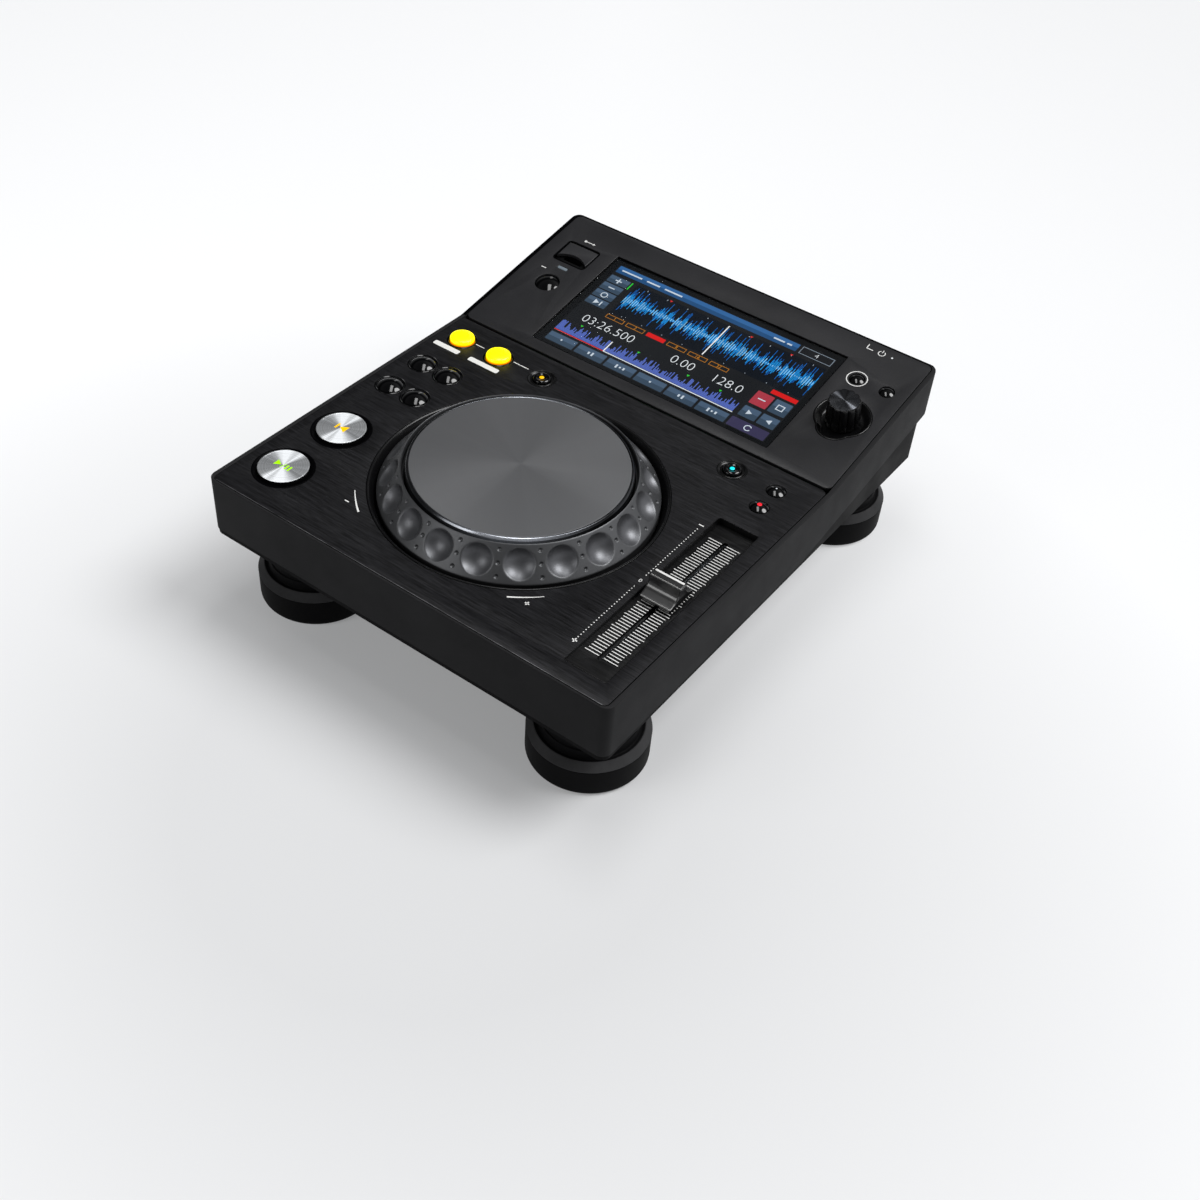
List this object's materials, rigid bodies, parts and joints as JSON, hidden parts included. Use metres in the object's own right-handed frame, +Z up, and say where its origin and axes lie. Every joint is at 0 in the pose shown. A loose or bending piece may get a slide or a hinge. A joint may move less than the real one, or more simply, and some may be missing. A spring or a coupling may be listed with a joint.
{
  "type": "dj multi player",
  "caption": "Flat dj deck on round feet with a dimpled jog wheel, tempo fader and round keys, and a tilted screen housing behind.",
  "frame": {"origin": "middle of the footprint on the surface that the feet stand on", "axes": "+Z up, -Y the front where the user stands, +X the right side with the tempo fader"},
  "size_m": [0.2446, 0.3018, 0.1022],
  "materials": {
    "charcoal_plastic": "fine-textured charcoal plastic",
    "black_plastic": "satin black plastic",
    "gloss_black": "polished black plastic",
    "brushed_black": "black sheet brushed side to side",
    "black_rubber": "matte black rubber",
    "grey_ring": "satin dark grey",
    "spun_grey": "mid grey disc with fine turned grooves",
    "spun_silver": "bright turned metal",
    "lit_yellow": "translucent yellow, lit from inside",
    "screen_glass": "flat dark display glass",
    "bare_steel": "bright stamped steel",
    "board_green": "green circuit board",
    "ivory_plastic": "pale plastic"
  },
  "bodies": {
    "case": {"lower_case": "black_plastic", "jog_well": "black_plastic", "jog_sensor": "black_plastic", "fader_tray": "black_plastic", "usb_socket": "black_plastic", "rear_jack_plate": "black_plastic", "mains_inlet": "black_plastic", "upper_case": "charcoal_plastic", "screen_panel": "charcoal_plastic", "foot_front_left": "black_rubber", "foot_front_right": "black_rubber", "foot_rear_left": "black_rubber", "foot_rear_right": "black_rubber", "deck_plate": "brushed_black", "deck_key_board": "board_green", "tempo_key_board": "board_green", "usb_key_board": "board_green", "screen_key_board": "board_green", "main_board": "board_green", "power_board": "board_green", "play_ring": "gloss_black", "cue_ring": "gloss_black", "selector_dish": "gloss_black", "phono_jack_left": "spun_silver", "phono_jack_right": "spun_silver", "jog_bearing": "ivory_plastic", "usb_light_bar": "ivory_plastic", "fader_track": "bare_steel", "lcd_module": "bare_steel", "selector_encoder": "bare_steel", "network_jack": "bare_steel", "usb_b_jack": "bare_steel", "screen_glass": "screen_glass"},
    "jog_turning": {"jog_wheel": "grey_ring", "jog_spindle": "bare_steel", "jog_encoder_disc": "bare_steel"},
    "jog_top": {"jog_platter": "spun_grey"},
    "tempo_fader": {"fader_lever": "bare_steel", "fader_cap": "black_plastic"},
    "selector_turning": {"selector_rotor": "ivory_plastic"},
    "selector_pushing": {"selector_shaft": "bare_steel", "selector_knob": "black_plastic"},
    "usb_flap": {"usb_cover": "black_plastic"},
    "power_key": {"power_button": "black_plastic"},
    "play_key": {"play_button": "spun_silver"},
    "cue_key": {"cue_button": "spun_silver"},
    "track_back_key": {"track_back_button": "gloss_black"},
    "track_forward_key": {"track_forward_button": "gloss_black"},
    "search_back_key": {"search_back_button": "gloss_black"},
    "search_forward_key": {"search_forward_button": "gloss_black"},
    "loop_in_key": {"loop_in_button": "lit_yellow"},
    "loop_out_key": {"loop_out_button": "lit_yellow"},
    "loop_exit_key": {"loop_exit_button": "gloss_black"},
    "vinyl_mode_key": {"vinyl_mode_button": "gloss_black"},
    "tempo_range_key": {"tempo_range_button": "gloss_black"},
    "master_tempo_key": {"master_tempo_button": "gloss_black"},
    "usb_stop_key": {"usb_stop_button": "gloss_black"},
    "back_key": {"back_button": "gloss_black"},
    "tag_key": {"tag_button": "gloss_black"}
  },
  "joints": [
    {"name": "jog_spin", "type": "hinge", "parent": "case", "child": "jog_turning", "pos_m": [-0.0012, -0.05655, 0.08], "axis": [0, 0, 1], "continuous": true},
    {"name": "jog_press", "type": "slide", "parent": "jog_turning", "child": "jog_top", "axis": [0, 0, -1], "range_m": [0, 0.0005], "stiffness_N_per_m": 4000, "springref_m": -0.0008},
    {"name": "tempo_slide", "type": "slide", "parent": "case", "child": "tempo_fader", "axis": [0, 1, 0], "range_m": [-0.05, 0.05]},
    {"name": "selector_spin", "type": "hinge", "parent": "case", "child": "selector_turning", "pos_m": [0.0983, 0.09113, 0.08899], "axis": [0, -0.1805, 0.9836], "continuous": true},
    {"name": "selector_push", "type": "slide", "parent": "selector_turning", "child": "selector_pushing", "axis": [0, 0.1805, -0.9836], "range_m": [0, 0.0006], "stiffness_N_per_m": 2000, "springref_m": -0.0004},
    {"name": "usb_flap_hinge", "type": "hinge", "parent": "case", "child": "usb_flap", "pos_m": [-0.0984, 0.12608, 0.09408], "axis": [-1, 0, 0], "range_deg": [0, 95]},
    {"name": "power_press", "type": "slide", "parent": "case", "child": "power_key", "axis": [0, -1, 0], "range_m": [0, 0.001], "stiffness_N_per_m": 1500, "springref_m": -0.0004},
    {"name": "play_press", "type": "slide", "parent": "case", "child": "play_key", "axis": [0, 0, -1], "range_m": [0, 0.0005], "stiffness_N_per_m": 1500, "springref_m": -0.0004},
    {"name": "cue_press", "type": "slide", "parent": "case", "child": "cue_key", "axis": [0, 0, -1], "range_m": [0, 0.0005], "stiffness_N_per_m": 1500, "springref_m": -0.0004},
    {"name": "track_back_press", "type": "slide", "parent": "case", "child": "track_back_key", "axis": [0, 0, -1], "range_m": [0, 0.0005], "stiffness_N_per_m": 1500, "springref_m": -0.0004},
    {"name": "track_forward_press", "type": "slide", "parent": "case", "child": "track_forward_key", "axis": [0, 0, -1], "range_m": [0, 0.0005], "stiffness_N_per_m": 1500, "springref_m": -0.0004},
    {"name": "search_back_press", "type": "slide", "parent": "case", "child": "search_back_key", "axis": [0, 0, -1], "range_m": [0, 0.0005], "stiffness_N_per_m": 1500, "springref_m": -0.0004},
    {"name": "search_forward_press", "type": "slide", "parent": "case", "child": "search_forward_key", "axis": [0, 0, -1], "range_m": [0, 0.0005], "stiffness_N_per_m": 1500, "springref_m": -0.0004},
    {"name": "loop_in_press", "type": "slide", "parent": "case", "child": "loop_in_key", "axis": [0, 0, -1], "range_m": [0, 0.0005], "stiffness_N_per_m": 1500, "springref_m": -0.0004},
    {"name": "loop_out_press", "type": "slide", "parent": "case", "child": "loop_out_key", "axis": [0, 0, -1], "range_m": [0, 0.0005], "stiffness_N_per_m": 1500, "springref_m": -0.0004},
    {"name": "loop_exit_press", "type": "slide", "parent": "case", "child": "loop_exit_key", "axis": [0, 0, -1], "range_m": [0, 0.0005], "stiffness_N_per_m": 1500, "springref_m": -0.0004},
    {"name": "vinyl_mode_press", "type": "slide", "parent": "case", "child": "vinyl_mode_key", "axis": [0, 0, -1], "range_m": [0, 0.0005], "stiffness_N_per_m": 1500, "springref_m": -0.0004},
    {"name": "tempo_range_press", "type": "slide", "parent": "case", "child": "tempo_range_key", "axis": [0, 0, -1], "range_m": [0, 0.0005], "stiffness_N_per_m": 1500, "springref_m": -0.0004},
    {"name": "master_tempo_press", "type": "slide", "parent": "case", "child": "master_tempo_key", "axis": [0, 0, -1], "range_m": [0, 0.0005], "stiffness_N_per_m": 1500, "springref_m": -0.0004},
    {"name": "usb_stop_press", "type": "slide", "parent": "case", "child": "usb_stop_key", "axis": [0, 0.1805, -0.9836], "range_m": [0, 0.0005], "stiffness_N_per_m": 1500, "springref_m": -0.0004},
    {"name": "back_press", "type": "slide", "parent": "case", "child": "back_key", "axis": [0, 0.1805, -0.9836], "range_m": [0, 0.0005], "stiffness_N_per_m": 1500, "springref_m": -0.0004},
    {"name": "tag_press", "type": "slide", "parent": "case", "child": "tag_key", "axis": [0, 0.1805, -0.9836], "range_m": [0, 0.0005], "stiffness_N_per_m": 1500, "springref_m": -0.0004}
  ]
}
